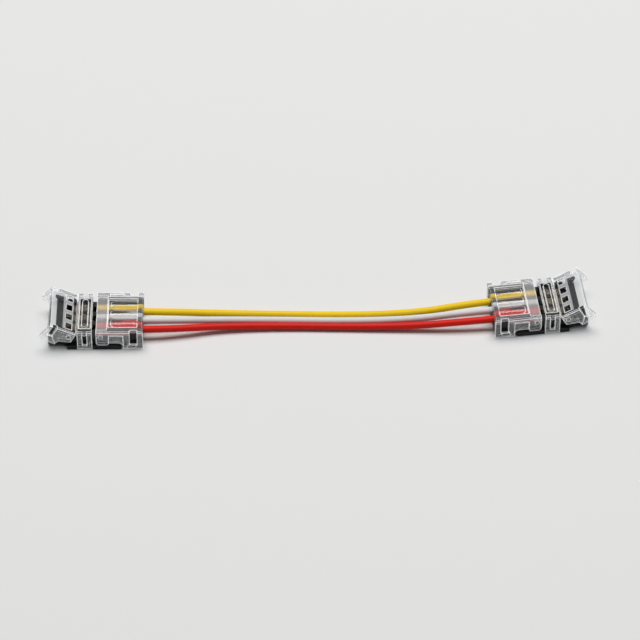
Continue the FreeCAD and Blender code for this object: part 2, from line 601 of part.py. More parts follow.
def build_wire_cover(label):
    """The clear wire cover: ears, hinge tabs, clamp over the wires and three lens ridges."""
    body = new_body(label)
    tab_end = f"({COVER_EDGE} + size.tab_length)"
    ear_end = f"({WIRE_FACE} - size.ear_length)"
    arch_round = f"(size.arch_share * ({ear_end} - {tab_end}))"
    tab_drop = "(size.arch_height - size.tab_height)"
    hinge_corner = {
        "through": (
            f"{COVER_EDGE} + size.tab_round * (1 - cos(45))",
            "size.tab_height + size.tab_round * (1 - sin(45))",
        ),
        "centre_x": f"{COVER_EDGE} + size.tab_round",
    }
    arch_corner = {
        "through": (
            f"{ear_end} - {arch_round} * (1 - sin(45))",
            f"size.arch_height - {arch_round} * (1 - cos(45))",
        ),
        "centre_x": f"{ear_end} - {arch_round}",
    }
    side = (
        (WIRE_FACE, "size.ground_gap"),
        (WIRE_FACE, "size.body_height - size.edge_break"),
        (f"{WIRE_FACE} - size.edge_break", "size.body_height"),
        (COVER_EDGE, "size.body_height"),
        (COVER_EDGE, "size.tab_height + size.tab_round", hinge_corner),
        (f"{COVER_EDGE} + size.tab_round", "size.tab_height"),
        (f"{tab_end} - {tab_drop}", "size.tab_height"),
        (tab_end, "size.arch_height"),
        (f"{ear_end} - {arch_round}", "size.arch_height", arch_corner),
        (ear_end, f"size.arch_height - {arch_round}"),
        (ear_end, "size.ground_gap"),
    )
    profile = outline(body, "SideOutline", "XZ_Plane", [side])
    pad(body, "Shell", profile, "size.body_width", midplane=True)

    beyond = "size.body_height"
    hollow = box(f"{COVER_EDGE} - {beyond}", f"-{beyond}", f"{WIRE_FACE} + {beyond}", CEILING)
    profile = outline(body, "HollowOutline", "XZ_Plane", [hollow])
    pocket(body, "Hollow", profile, f"2 * {CAVITY_HALF}", midplane=True)

    clamp = box(CLAMP_BACK, CLAMP_BOTTOM, WIRE_FACE, f"{CEILING} + size.fit_gap")
    profile = outline(body, "ClampOutline", "XZ_Plane", [clamp])
    pad(body, "Clamp", profile, f"2 * ({CHANNEL_HALF} - size.side_play)", midplane=True)

    half_ridge = f"(({PITCH} - size.ridge_gap) / 2)"
    ridge_front = f"({WIRE_FACE} - size.ridge_start)"
    valley_half = f"({OUTER_DIVIDER} + size.ridge_gap / 2)"
    valley = box(CLAMP_BACK, f"-{valley_half}", ridge_front, valley_half)
    profile = outline(body, "ValleyOutline", "XY_Plane", [valley], "size.body_height")
    pocket(body, "Valley", profile, "size.ridge_drop + size.ridge_rise")

    crown_height = "(size.body_height - size.ridge_drop)"
    valley_height = f"({crown_height} - size.ridge_rise)"
    seat_height = f"({valley_height} - size.fit_gap)"
    ridge_radius = f"(({half_ridge} ^ 2 + size.ridge_rise ^ 2) / (2 * size.ridge_rise))"
    crown = {
        "through": (f"-{OUTER_LANE}", crown_height),
        "centre_y": f"{crown_height} - {ridge_radius}",
    }
    ridge = (
        (f"-{OUTER_LANE} - {half_ridge}", seat_height),
        (f"-{OUTER_LANE} + {half_ridge}", seat_height),
        (f"-{OUTER_LANE} + {half_ridge}", valley_height, crown),
        (f"-{OUTER_LANE} - {half_ridge}", valley_height),
    )
    profile = outline(body, "RidgeOutline", "YZ_Plane", [ridge], CLAMP_BACK)
    ridges = pad(body, "Ridge", profile, f"{ridge_front} - {CLAMP_BACK}")

    round_start = f"({CLAMP_BACK} + size.ridge_end_gap + {half_ridge})"
    clear_half = f"({half_ridge} + size.ridge_gap / 4)"
    round_end = {
        "through": (f"{CLAMP_BACK} + size.ridge_end_gap", f"-{OUTER_LANE}"),
        "centre_x": round_start,
    }
    corners = (
        (round_start, f"-{OUTER_LANE} + {half_ridge}", round_end),
        (round_start, f"-{OUTER_LANE} - {half_ridge}"),
        (round_start, f"-{OUTER_LANE} - {clear_half}"),
        (CLAMP_BACK, f"-{OUTER_LANE} - {clear_half}"),
        (CLAMP_BACK, f"-{OUTER_LANE} + {clear_half}"),
        (round_start, f"-{OUTER_LANE} + {clear_half}"),
    )
    profile = outline(body, "RidgeEndOutline", "XY_Plane", [corners], "size.body_height")
    ends = pocket(body, "RidgeEnd", profile, "size.ridge_drop + size.ridge_rise")
    across(body, "Ridges", [ridges, ends], len(LANES))

    recess_half = f"({OUTER_HALF} - size.recess_rim)"
    recess = box(
        f"{COVER_EDGE} - {beyond}",
        f"-{recess_half}",
        f"{CLAMP_BACK} - size.recess_step",
        recess_half,
    )
    profile = outline(body, "RecessOutline", "XY_Plane", [recess], "size.body_height")
    pocket(body, "Recess", profile, "size.recess_depth")

    panel = box(tab_end, "0", ear_end, f"{CEILING} - size.panel_drop")
    profile = outline(body, "PanelOutline", "XZ_Plane", [panel], OUTER_HALF)
    panels = pocket(body, "Panel", profile, "size.panel_depth")
    mirror(body, "OtherPanel", [panels])

    latch_windows(body, COVER_WINDOW)
    pin_holes(body, COVER_PIVOT)
    latch_track(body, "LatchTrack", COVER_PIVOT, COVER_WINDOW, "+")
    return body


def build_strip_flap(label):
    """The clear strip flap: sides with ears, a row of windows and three pressing pads."""
    body = new_body(label)
    heel = f"({HINGE_HEIGHT} - size.flap_heel_depth)"
    side = (
        (FLAP_EDGE, heel),
        (FLAP_EDGE, "size.body_height"),
        (FLAP_END, "size.body_height"),
        (f"{FLAP_END} - size.flap_flare", "size.flap_toe_height"),
        (f"{FLAP_EDGE} - size.flap_ear_run", "size.flap_ear_height"),
        (f"{FLAP_EDGE} - size.flap_ear_start", "size.flap_ear_height"),
        (f"{FLAP_EDGE} - size.flap_arch_run", "size.arch_height"),
        (f"{FLAP_EDGE} - size.flap_heel_run", f"{heel} - size.flap_heel_drop"),
    )
    profile = outline(body, "SideOutline", "XZ_Plane", [side])
    pad(body, "Shell", profile, "size.body_width", midplane=True)

    beyond = "size.body_height"
    hollow = box(f"{FLAP_END} - {beyond}", f"-{beyond}", f"{FLAP_EDGE} + {beyond}", CEILING)
    profile = outline(body, "HollowOutline", "XZ_Plane", [hollow])
    pocket(body, "Hollow", profile, f"2 * {CAVITY_HALF}", midplane=True)

    grid_front = f"({FLAP_EDGE} - size.grid_start)"
    grid_back = f"({grid_front} - size.grid_length)"
    half_pad = "size.pad_width / 2"
    press = box(
        f"-{OUTER_LANE} - {half_pad}",
        "size.pad_height",
        f"-{OUTER_LANE} + {half_pad}",
        f"{CEILING} + size.fit_gap",
    )
    profile = outline(body, "PadOutline", "YZ_Plane", [press], grid_back)
    presses = pad(body, "PressPad", profile, "size.grid_length")
    across(body, "PressPads", [presses], len(LANES))

    half_window = f"(({PITCH} - size.pad_width) / 2)"
    window = box(
        grid_back,
        f"-{OUTER_DIVIDER} - {half_window}",
        grid_front,
        f"-{OUTER_DIVIDER} + {half_window}",
    )
    profile = outline(body, "GridOutline", "XY_Plane", [window], "size.body_height")
    windows = pocket(body, "GridWindow", profile, "size.plate + size.fit_gap")
    across(body, "GridWindows", [windows], len(LANES) + 1)

    latch_windows(body, FLAP_WINDOW)
    pin_holes(body, FLAP_PIVOT)
    latch_track(body, "LatchTrack", FLAP_PIVOT, FLAP_WINDOW, "-")
    return body


def build_contact(label):
    """A stamped contact: a flat strip, teeth along its edges for the strip, teeth for the wire."""
    body = new_body(label)
    front = f"({WIRE_FACE} - size.contact_wire_end)"
    back = f"({TONGUE_END} + size.contact_strip_end)"
    half = "size.contact_width / 2"
    plan = (
        (back, f"-{half} + size.contact_taper"),
        (f"{back} + size.contact_taper", f"-{half}"),
        (f"{front} - size.contact_taper", f"-{half}"),
        (front, f"-{half} + size.contact_taper"),
        (front, f"{half} - size.contact_taper"),
        (f"{front} - size.contact_taper", half),
        (f"{back} + size.contact_taper", half),
        (back, f"{half} - size.contact_taper"),
    )
    profile = outline(body, "PlanOutline", "XY_Plane", [plan], "size.floor_height")
    pad(body, "Strip", profile, "size.contact_thickness")

    root = "size.floor_height"
    loops = []
    for number in range(2):
        start = f"({back} + size.strip_tooth_start + {number} * size.strip_tooth_pitch)"
        loops.append((
            (start, root),
            (f"{start} + size.strip_tooth_base", root),
            (f"{start} + size.strip_tooth_base / 2", "size.strip_tooth_tip"),
        ))
    row = f"{half} - size.contact_thickness"
    profile = outline(body, "StripToothOutline", "XZ_Plane", loops, row)
    teeth = pad(body, "StripTeeth", profile, "size.contact_thickness")
    mirror(body, "OtherStripTeeth", [teeth])

    loops = []
    for number in range(2):
        start = f"({front} - size.wire_tooth_start - {number} * size.wire_tooth_pitch)"
        loops.append((
            (start, root),
            (f"{start} - size.wire_tooth_base / 2", f"{WIRE_AXIS} + size.wire_tooth_bite"),
            (f"{start} - size.wire_tooth_base", root),
        ))
    profile = outline(body, "WireToothOutline", "XZ_Plane", loops)
    pad(body, "WireTeeth", profile, "size.contact_thickness", midplane=True)
    return body


# Placements


def shift(x, y, z):
    """The expression of a move."""
    return f"placement(vector({x}; {y}; {z}); rotation(vector(0; 0; 1); 0))"


def turn(axis, angle):
    """The expression of a turn about an axis through the origin."""
    return f"placement(vector(0; 0; 0); rotation(vector({axis}); {angle}))"


END_PLACES = {
    "left": shift(0, 0, 0),
    "right": f"{shift('size.far_x', 'size.far_y', 0)} * {turn('0; 0; 1', 'size.far_turn')}",
}

FLAP_TILT = " * ".join((
    shift(FLAP_PIVOT, 0, HINGE_HEIGHT),
    turn("0; 1; 0", "size.open_angle"),
    shift(f"-{FLAP_PIVOT}", 0, f"-{HINGE_HEIGHT}"),
))


def lane_place(end, colour):
    """Where a contact lies across its connector, so that each wire joins the same colour."""
    lane = LANES[colour] if end == "left" else -LANES[colour]
    return shift(0, f"{lane} * {PITCH}", 0)


# Wires


def route_path(points):
    """Straight runs joined by tangent arcs, each as large as its two runs allow."""
    spots = [FreeCAD.Vector(*point) for point in points]
    edges = []
    radii = []
    start = spots[0]
    for before, corner, after in zip(spots, spots[1:], spots[2:]):
        back = before - corner
        ahead = after - corner
        reach = 0.45 * min(back.Length, ahead.Length)
        half_turn = (math.pi - back.getAngle(ahead)) / 2
        radius = reach / math.tan(half_turn)
        back.normalize()
        ahead.normalize()
        first = corner + back * reach
        last = corner + ahead * reach
        inward = back + ahead
        inward.normalize()
        middle = corner + inward * (radius / math.cos(half_turn) - radius)
        edges.append(Part.LineSegment(start, first).toShape())
        edges.append(Part.Arc(first, middle, last).toShape())
        radii.append(radius)
        start = last
    edges.append(Part.LineSegment(start, spots[-1]).toShape())
    return Part.Wire(edges), radii


def round_section(diameter):
    """A circle about the origin."""
    return Part.Wire(Part.makeCircle(diameter / 2))


def strand_section(width):
    """The outline of one strand with six round it, by its width across the corners."""
    angles = [math.tau * number / STRANDS_AROUND for number in range(STRANDS_AROUND + 1)]
    corners = [FreeCAD.Vector(math.cos(angle), math.sin(angle), 0) * (width / 2) for angle in angles]
    return Part.makePolygon(corners)


def along(path, points, section):
    """The solid that a section makes along a path."""
    start = FreeCAD.Vector(*points[0])
    heading = FreeCAD.Vector(*points[1]) - start
    upright = FreeCAD.Vector(0, 0, 1)
    section.Placement = FreeCAD.Placement(start, FreeCAD.Rotation(upright, heading))
    return path.makePipeShell([section], True, False)


def build_wire(colour):
    """One wire: a conductor and the insulation tube round it."""
    points = ROUTES[colour]
    path, radii = route_path(points)
    width = value("size.conductor_width")
    jacket = along(path, points, round_section(value("size.wire_diameter")))
    bore_width = value("size.conductor_width + 2 * size.insulation_play / cos(30)")
    bore = along(path, points, strand_section(bore_width))
    insulation = document.addObject("Part::Feature", f"wire_{colour}_insulation")
    insulation.Label = f"wire_{colour}_insulation"
    insulation.Shape = jacket.cut(bore)

    reach = value("size.conductor_reach")
    first = FreeCAD.Vector(*points[0])
    last = FreeCAD.Vector(*points[-1])
    first_way = first - FreeCAD.Vector(*points[1])
    last_way = last - FreeCAD.Vector(*points[-2])
    longer = [tuple(first + first_way.normalize() * reach), *points[1:-1]]
    longer.append(tuple(last + last_way.normalize() * reach))
    core_path, _ = route_path(longer)
    conductor = document.addObject("Part::Feature", f"wire_{colour}_conductor")
    conductor.Label = f"wire_{colour}_conductor"
    conductor.Shape = along(core_path, longer, strand_section(width))

    area = math.pi * value("size.wire_diameter") ** 2 / 4
    print(f"{colour} wire: length {path.Length:.1f} mm,",
          f"radii {', '.join(f'{radius:.0f}' for radius in radii)} mm,",
          f"volume over section times length {jacket.Volume / (area * path.Length):.4f}")
    return [insulation, conductor]


def build_connector(end):
    """All pieces of one connector, in their places."""
    place = END_PLACES[end]
    base = build_base(f"{end}_base")
    bridge = build_bridge(f"{end}_bridge")
    cover = build_wire_cover(f"{end}_wire_cover")
    flap = build_strip_flap(f"{end}_strip_flap")
    for body in (base, bridge, cover):
        body.setExpression("Placement", place)
    flap.setExpression("Placement", f"{place} * {FLAP_TILT}")
    contacts = []
    for colour in LANES:
        contact = build_contact(f"{end}_contact_{colour}")
        contact.setExpression("Placement", f"{place} * {lane_place(end, colour)}")
        contacts.append(contact)
    return [base, bridge, cover, flap, *contacts]


def check(parts):
    """Stop if an object failed or a piece is not one valid solid."""
    for item in document.Objects:
        if "Invalid" in item.State or "Error" in item.State:
            raise RuntimeError(f"{item.Label} is {item.State}")
    for part in parts:
        if part.Shape.isNull() or not part.Shape.isValid() or len(part.Shape.Solids) != 1:
            raise RuntimeError(f"{part.Label} is not one valid solid")


def main():
    """Build every piece, check it and write its file."""
    parts = []
    for end in END_PLACES:
        parts.extend(build_connector(end))
    for colour in LANES:
        parts.extend(build_wire(colour))
    document.recompute()
    check(parts)
    os.makedirs("parts", exist_ok=True)
    for part in parts:
        part.Shape.exportStep(f"parts/{part.Label}.step")
    print(f"{len(parts)} parts")


main()
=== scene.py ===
"""Looks of a solderless lead for LED strip: wires, clear and black mouldings, contacts, stage."""

import math

import bpy
from bpy.props import FloatProperty, FloatVectorProperty, PointerProperty
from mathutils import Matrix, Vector


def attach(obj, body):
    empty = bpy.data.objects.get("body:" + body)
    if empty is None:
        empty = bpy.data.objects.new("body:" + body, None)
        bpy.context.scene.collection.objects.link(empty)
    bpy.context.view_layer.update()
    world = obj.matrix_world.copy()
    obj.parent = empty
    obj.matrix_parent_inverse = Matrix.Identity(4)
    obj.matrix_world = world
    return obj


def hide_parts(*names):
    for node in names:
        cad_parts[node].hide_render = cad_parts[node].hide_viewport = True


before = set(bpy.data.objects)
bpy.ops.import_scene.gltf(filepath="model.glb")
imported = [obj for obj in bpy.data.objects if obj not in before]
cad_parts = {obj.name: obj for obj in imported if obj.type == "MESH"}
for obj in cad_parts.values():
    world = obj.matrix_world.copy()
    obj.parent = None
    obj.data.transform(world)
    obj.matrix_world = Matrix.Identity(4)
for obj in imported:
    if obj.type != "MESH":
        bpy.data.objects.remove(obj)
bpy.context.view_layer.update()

bl_info = {
    "name": "LED strip connector lead",
    "version": (1, 0, 0),
    "blender": (4, 5, 0),
    "location": "View3D > Sidebar > Connector",
    "description": "Wires, mouldings, contacts and stage of a solderless strip connector lead",
    "category": "Object",
}

# Lengths are in metres, apart from the camera's sensor
MM = 0.001
UPWARD = (0.0, 0.0, 1.0)

# Centre lines of the three wires, from cut end to cut end
WIRE_ROUTES = {
    "yellow": (
        (-0.0023, 0.0031, 0.0031),
        (0.0130, 0.0031, 0.0031),
        (0.0335, 0.0042, 0.0010),
        (0.0732, 0.0036, 0.0010),
        (0.0931, 0.00632, 0.0031),
        (0.10718, 0.00817, 0.0031),
    ),
    "white": (
        (-0.0023, 0.0, 0.0031),
        (0.0130, 0.0, 0.0031),
        (0.0326, 0.00225, 0.0010),
        (0.0716, 0.0016, 0.0010),
        (0.0920, 0.00305, 0.0031),
        (0.10758, 0.0051, 0.0031),
    ),
    "red": (
        (-0.0023, -0.0031, 0.0031),
        (0.0130, -0.0031, 0.0031),
        (0.0330, 0.00035, 0.0010),
        (0.0726, -0.00035, 0.0010),
        (0.0922, -0.00005, 0.0031),
        (0.10798, 0.00203, 0.0031),
    ),
}
WIRE_ROUND_STEPS = 7
WIRE_ROUTE_STEPS = 24

# The strands round a conductor's middle one, and the stretch of them inside the insulation
STRANDS_AROUND = 6
STRAND_HIDDEN = 0.0012
STRAND_STEPS = 5
STRAND_ROUND_STEPS = 2
# Radians a metre
STRAND_TWIST = 900.0

# The two connectors: origin, turn, and the directions of their own X and Y
ENDS = ("left", "right")
RIGHT_TURN = math.radians(187.5)
END_FRAMES = {
    "left": ((0.0, 0.0, 0.0), 0.0),
    "right": ((0.1053, 0.0048, 0.0), RIGHT_TURN),
}
END_HEADINGS = {
    "left": (1.0, 0.0, 0.0),
    "right": (math.cos(RIGHT_TURN), math.sin(RIGHT_TURN), 0.0),
}
END_SIDES = {
    "left": (0.0, 1.0, 0.0),
    "right": (-math.sin(RIGHT_TURN), math.cos(RIGHT_TURN), 0.0),
}

# Places on the clear mouldings in a connector's own frame, and the blend at their borders
OUTER_FACE = 0.0058
UPPER_FACE = 0.0044
PANE_MIDDLE = -0.0009
PANE_REACH = 0.0014
VENTS_MIDDLE = -0.0092
VENTS_REACH = 0.0013
RIDGES_START = 0.0007
PLACE_BLEND = 0.0002

# How far a face turns to a direction before it counts as facing it, from 0 to 1
FACING = 0.6
FACING_SIDEWAYS = 0.75
FACING_BLEND = 0.2

# How strongly the surface bends before it counts as an edge, where the clear plastic's painted
# highlight begins
EDGE_START = 0.03
EDGE_BLEND = 0.125
EDGE_SAMPLES = 8

# Wear on the black mouldings' edges: its width and strength, and the worn colour
RUBBED_WIDTH = 0.00012
RUBBED_STRENGTH = 6.0
WORN_GAIN = 3.0
WORN_LIFT = 0.01

# Fixed tints and unevenness of the clear plastic, and the whitish colour of its painted edge
# highlight
PASSING_LIGHT = (0.95, 0.955, 0.96)
SHADOW_LIGHT = (0.74, 0.75, 0.76)
FROST_DARK = (0.74, 0.75, 0.76)
FROST_LIGHT = (0.86, 0.87, 0.88)
# Painted highlight: the whitish colour laid along the clear edges
EDGE_HIGHLIGHT_WHITE = (0.93, 0.935, 0.94)
SIDE_GRAIN = 0.4
HAZE_START = 0.45
CLEAR_UNEVENNESS = 0.07

NOISE_MIDDLE = 0.5
TINNED_STRAND = (0.74, 0.72, 0.69)
COPPER = (0.78, 0.46, 0.32)

# Stage and camera
FLOOR_REACH = 2.0
SENSOR_WIDTH = 36.0
PHOTO_PIXELS = 640
CLIP_NEAR = 0.01
CLIP_FAR = 20.0

# Sockets of the Mix node that carry colours
MIX_FIRST = 6
MIX_SECOND = 7
MIX_RESULT = 2


class Socket:
    """A node's output, or a number, that Python's operators turn into Math nodes."""

    def __init__(self, shader, source):
        self.shader = shader
        self.source = source

    def _maths(self, operation, *others):
        """One Math node."""
        values = dict(enumerate((self, *others)))
        return self.shader.node("ShaderNodeMath", {"operation": operation}, values)

    def __add__(self, other):
        return self._maths("ADD", other)

    def __mul__(self, other):
        return self._maths("MULTIPLY", other)

    def __sub__(self, other):
        return self._maths("SUBTRACT", other)

    def __rsub__(self, other):
        return Socket(self.shader, other)._maths("SUBTRACT", self)

    __radd__ = __add__
    __rmul__ = __mul__

    def clamped(self, low=0.0, high=1.0):
        """The value held between two numbers."""
        return self._maths("MAXIMUM", low)._maths("MINIMUM", high)

    def size(self):
        """The value without its sign."""
        return self._maths("ABSOLUTE")

    def rising(self, start, span):
        """0 up to the start, then evenly up to 1 over the span."""
        return ((self - start) * (1.0 / span)).clamped()

    def within(self, middle, reach, blend):
        """1 inside a reach on both sides of the middle, and 0 outside it."""
        return ((reach - (self - middle).size()) * (1.0 / blend)).clamped()


class Shader:
    """A material under construction."""

    def __init__(self, name):
        self.material = bpy.data.materials.new(name)
        self.material.use_nodes = True
        self.tree = self.material.node_tree
        self.tree.nodes.clear()
        self.output = self.tree.nodes.new("ShaderNodeOutputMaterial")

    def node(self, kind, settings=None, values=None, output=0):
        """Add a node: its settings first, then the values or links of its sockets."""
        made = self.tree.nodes.new(kind)
        for name, setting in (settings or {}).items():
            setattr(made, name, setting)
        for socket, value in (values or {}).items():
            self._feed(made.inputs[socket], value)
        return Socket(self, made.outputs[output])

    def _feed(self, socket, value):
        """Link an input, or set its value."""
        if isinstance(value, Socket):
            value = value.source
        if isinstance(value, bpy.types.NodeSocket):
            self.tree.links.new(value, socket)
            return
        if socket.type == "RGBA" and len(value) == 3:
            value = (*value, 1.0)
        socket.default_value = value

    def noise(self, scale, detail=3.0, roughness=0.5, stretch=(1.0, 1.0, 1.0)):
        """Noise in the object's own metres, as a value about 0.5."""
        place = self.node("ShaderNodeTexCoord", output="Object")
        moved = self.node("ShaderNodeMapping", None, {"Vector": place, "Scale": stretch})
        values = {"Vector": moved, "Scale": scale, "Detail": detail, "Roughness": roughness}
        return self.node("ShaderNodeTexNoise", None, values)

    def own_place(self, end):
        """The place on a connector in its own frame, as three values."""
        place = self.node("ShaderNodeTexCoord", output="Object")
        origin, turn = END_FRAMES[end]
        values = {"Vector": place, "Location": origin, "Rotation": (0.0, 0.0, turn)}
        own = self.node("ShaderNodeMapping", {"vector_type": "TEXTURE"}, values)
        return [self.node("ShaderNodeSeparateXYZ", None, {"Vector": own}, axis) for axis in "XYZ"]

    def geometry(self, output):
        """A value of the surface itself."""
        return self.node("ShaderNodeNewGeometry", output=output)

    def agreement(self, first, second):
        """How far two directions agree, from -1 to 1."""
        settings = {"operation": "DOT_PRODUCT"}
        return self.node("ShaderNodeVectorMath", settings, {0: first, 1: second}, "Value")

    def facing(self, direction):
        """How far the surface faces a direction, from -1 to 1, whichever side is looked at."""
        behind = self.geometry("Backfacing")
        return self.agreement(self.geometry("True Normal"), direction) * (1.0 - 2.0 * behind)

    def edges(self, radius):
        """How near the surface is to an edge: 0 on a flat, rising within the radius."""
        rounded = self.node("ShaderNodeBevel", {"samples": EDGE_SAMPLES}, {"Radius": radius})
        return 1.0 - self.agreement(rounded, self.geometry("True Normal"))

    def blend(self, factor, first, second):
        """One colour turning into another."""
        values = {"Factor": factor, MIX_FIRST: first, MIX_SECOND: second}
        return self.node("ShaderNodeMix", {"data_type": "RGBA"}, values, MIX_RESULT)

    def mixed(self, factor, first, second):
        """One surface turning into another."""
        return self.node("ShaderNodeMixShader", None, {0: factor, 1: first, 2: second})

    def bump(self, height, strength, distance):
        """A surface relief."""
        values = {"Height": height, "Strength": strength, "Distance": distance}
        return self.node("ShaderNodeBump", None, values, "Normal")

    def surface(self, values):
        """The Principled BSDF."""
        return self.node("ShaderNodeBsdfPrincipled", None, values)

    def see_through(self, tint):
        """A surface that light passes unbent."""
        return self.node("ShaderNodeBsdfTransparent", None, {"Color": tint})

    def finish(self, surface):
        """Join a surface to the output and give the material."""
        self.tree.links.new(surface.source, self.output.inputs["Surface"])
        return self.material


def darker(colour, share):
    """A colour's channels times a share."""
    return tuple(channel * share for channel in colour)


def wandering(middle, noise, spread):
    """A value that noise moves up and down round its middle."""
    return middle + spread * (noise - NOISE_MIDDLE)


def insulation_material(colour, settings):
    """Soft extruded insulation: faint mottling, drawn streaks and a satin skin."""
    shader = Shader(f"{colour}_insulation")
    skin = tuple(getattr(settings, colour))
    mottle = shader.noise(scale=700.0, detail=4.0)
    streak = shader.noise(scale=900.0, detail=2.0, stretch=(0.08, 1.0, 1.0))
    paleness = (0.6 * mottle + 0.4 * streak).clamped()
    roughness = wandering(settings.insulation_roughness, mottle, spread=0.16)
    return shader.finish(shader.surface({
        "Base Color": shader.blend(paleness, darker(skin, share=0.78), skin),
        "Roughness": roughness.clamped(0.15, 0.9),
        "Specular IOR Level": settings.insulation_sheen,
        "Normal": shader.bump(0.5 * streak + 0.5 * mottle, strength=0.25, distance=0.00004),
    }))


def black_material(settings):
    """Black moulding with a fine spark-eroded grain and slightly polished edges."""
    shader = Shader("black_moulding")
    grain = shader.noise(scale=5200.0, detail=3.0, roughness=0.6)
    cloud = shader.noise(scale=260.0, detail=3.0)
    rubbed = (RUBBED_STRENGTH * shader.edges(RUBBED_WIDTH)).clamped()
    base = tuple(settings.black_colour)
    worn = tuple(channel * WORN_GAIN + WORN_LIFT for channel in base)
    wear = (0.5 * rubbed + 0.2 * cloud).clamped()
    roughness = wandering(settings.black_roughness, cloud, spread=0.14) - 0.1 * rubbed
    return shader.finish(shader.surface({
        "Base Color": shader.blend(wear, base, worn),
        "Roughness": roughness.clamped(0.12, 0.9),
        "Specular IOR Level": settings.black_sheen,
        "Normal": shader.bump(grain, strength=0.3, distance=0.00002),
    }))


def clear_zones(shader, end):
    """Masks of the clear mouldings' faces and places that look different."""
    along, across, upward = shader.own_place(end)
    outer = across.size().rising(OUTER_FACE, PLACE_BLEND)
    inner = 1.0 - outer
    upright = shader.facing(UPWARD)
    upper = upward.rising(UPPER_FACE, PLACE_BLEND)
    upper_top = upper * upright.rising(FACING, FACING_BLEND)
    lengthways = shader.facing(END_HEADINGS[end]).size()
    sideways = shader.facing(END_SIDES[end]).size().rising(FACING_SIDEWAYS, FACING_BLEND)
    return {
        "side": outer * sideways,
        "wall": inner * sideways,
        "under": (-1.0 * upright).rising(FACING, FACING_BLEND),
        "tip": lengthways.rising(FACING, FACING_BLEND),
        "pane": along.within(PANE_MIDDLE, PANE_REACH, PLACE_BLEND) * inner,
        "vents": along.within(VENTS_MIDDLE, VENTS_REACH, PLACE_BLEND) * upper_top * inner,
        "ridges": along.rising(RIDGES_START, PLACE_BLEND) * upper * inner,
        # Faces that carry the painted edge highlight
        "edge_highlit": (outer + upper_top).clamped(),
    }


def clear_material(settings, end):
    """Water-clear moulding: polished faces, hazy zones, and a painted highlight with painted glow
    along the outer edges.
    """
    shader = Shader(f"{end}_clear_moulding")
    zones = clear_zones(shader, end)
    haze = shader.noise(scale=420.0, detail=4.0, roughness=0.6)
    flow = shader.noise(scale=160.0, detail=2.0, stretch=(1.0, 0.4, 1.0))
    grain = shader.noise(scale=2800.0, detail=3.0, roughness=0.6)
    uneven = settings.clear_roughness + CLEAR_UNEVENNESS * (haze - HAZE_START).clamped()
    polish = uneven + settings.pane_blur * zones["pane"]
    body = shader.surface({
        "Base Color": tuple(settings.clear_tint),
        "Roughness": polish.clamped(0.01, 0.5),
        "IOR": settings.clear_index,
        "Transmission Weight": 1.0,
        "Specular Tint": (settings.clear_gloss,) * 3,
        "Normal": shader.bump(0.7 * flow + 0.3 * haze, strength=0.05, distance=0.00004),
    })
    frost = shader.surface({
        "Base Color": shader.blend(grain, FROST_DARK, FROST_LIGHT),
        "Roughness": 0.55,
        "Specular IOR Level": 0.4,
        "Normal": shader.bump(grain, strength=0.3, distance=0.00002),
    })
    # Painted highlight with painted glow: a whitish surface that gives off light, laid on the
    # clear edges
    white = shader.surface({
        "Base Color": EDGE_HIGHLIGHT_WHITE,
        "Roughness": 0.3,
        "Emission Color": (1.0, 1.0, 1.0),
        "Emission Strength": settings.edge_glow,
    })
    thin = (
        settings.thinness
        + settings.side_thinness * zones["side"]
        + settings.under_thinness * zones["under"]
        + settings.tip_thinness * zones["tip"]
        + settings.wall_thinness * zones["wall"]
    )
    hazy = settings.pane_frost * zones["pane"] + settings.vent_frost * zones["vents"]
    side_haze = wandering(settings.side_frost, grain, SIDE_GRAIN).clamped()
    # Mask of the painted edge highlight and its painted glow
    edge = shader.edges(settings.edge_width).rising(EDGE_START, EDGE_BLEND)
    made = shader.mixed(thin.clamped(), body, shader.see_through(PASSING_LIGHT))
    made = shader.mixed(hazy, made, frost)
    made = shader.mixed(settings.ridge_frost * zones["ridges"], made, frost)
    made = shader.mixed(side_haze * zones["side"], made, frost)
    made = shader.mixed(edge * settings.edge_highlight_strength * zones["edge_highlit"], made, white)
    in_shadow = shader.node("ShaderNodeLightPath", output="Is Shadow Ray")
    return shader.finish(shader.mixed(in_shadow, made, shader.see_through(SHADOW_LIGHT)))


def contact_material(settings):
    """Stamped and tin-plated sheet: drawn lines, slightly uneven plating, and painted shade that
    darkens the tin far below its own colour.
    """
    shader = Shader("tinned_contact")
    lines = shader.noise(scale=3800.0, detail=2.0, stretch=(0.04, 1.0, 1.0))
    cloud = shader.noise(scale=900.0, detail=3.0)
    # Painted shade: the contact colour is far darker than tin and stands for the shade inside the
    # housing
    shaded_tin = tuple(settings.contact_shaded_colour)
    roughness = wandering(settings.contact_roughness, cloud, spread=0.22)
    return shader.finish(shader.surface({
        "Base Color": shader.blend(cloud, darker(shaded_tin, share=0.68), shaded_tin),
        "Metallic": 1.0,
        "Roughness": roughness.clamped(0.12, 0.8),
        "Normal": shader.bump(lines, strength=0.3, distance=0.00001),
    }))


def strand_material():
    """Tinned copper strands, with a copper blush where they were cut."""
    shader = Shader("tinned_strands")
    cloud = shader.noise(scale=2400.0, detail=2.0)
    blush = cloud.rising(start=0.48, span=0.2)
    return shader.finish(shader.surface({
        "Base Color": shader.blend(blush, TINNED_STRAND, COPPER),
        "Metallic": 1.0,
        "Roughness": (0.28 + 0.2 * cloud).clamped(0.1, 0.8),
    }))


def floor_material(settings):
    """Matt pale paper."""
    shader = Shader("pale_floor")
    fibre = shader.noise(scale=140.0, detail=4.0)
    base = tuple(settings.floor_colour)
    return shader.finish(shader.surface({
        "Base Color": shader.blend(fibre, darker(base, share=0.992), base),
        "Roughness": 0.85,
        "Specular IOR Level": 0.1,
    }))


def dress(piece, material):
    """Give a piece one material."""
    piece.data.materials.clear()
    piece.data.materials.append(material)


def link(name, data):
    """Put new data into the scene as an object."""
    made = bpy.data.objects.new(name, data)
    bpy.context.scene.collection.objects.link(made)
    return made


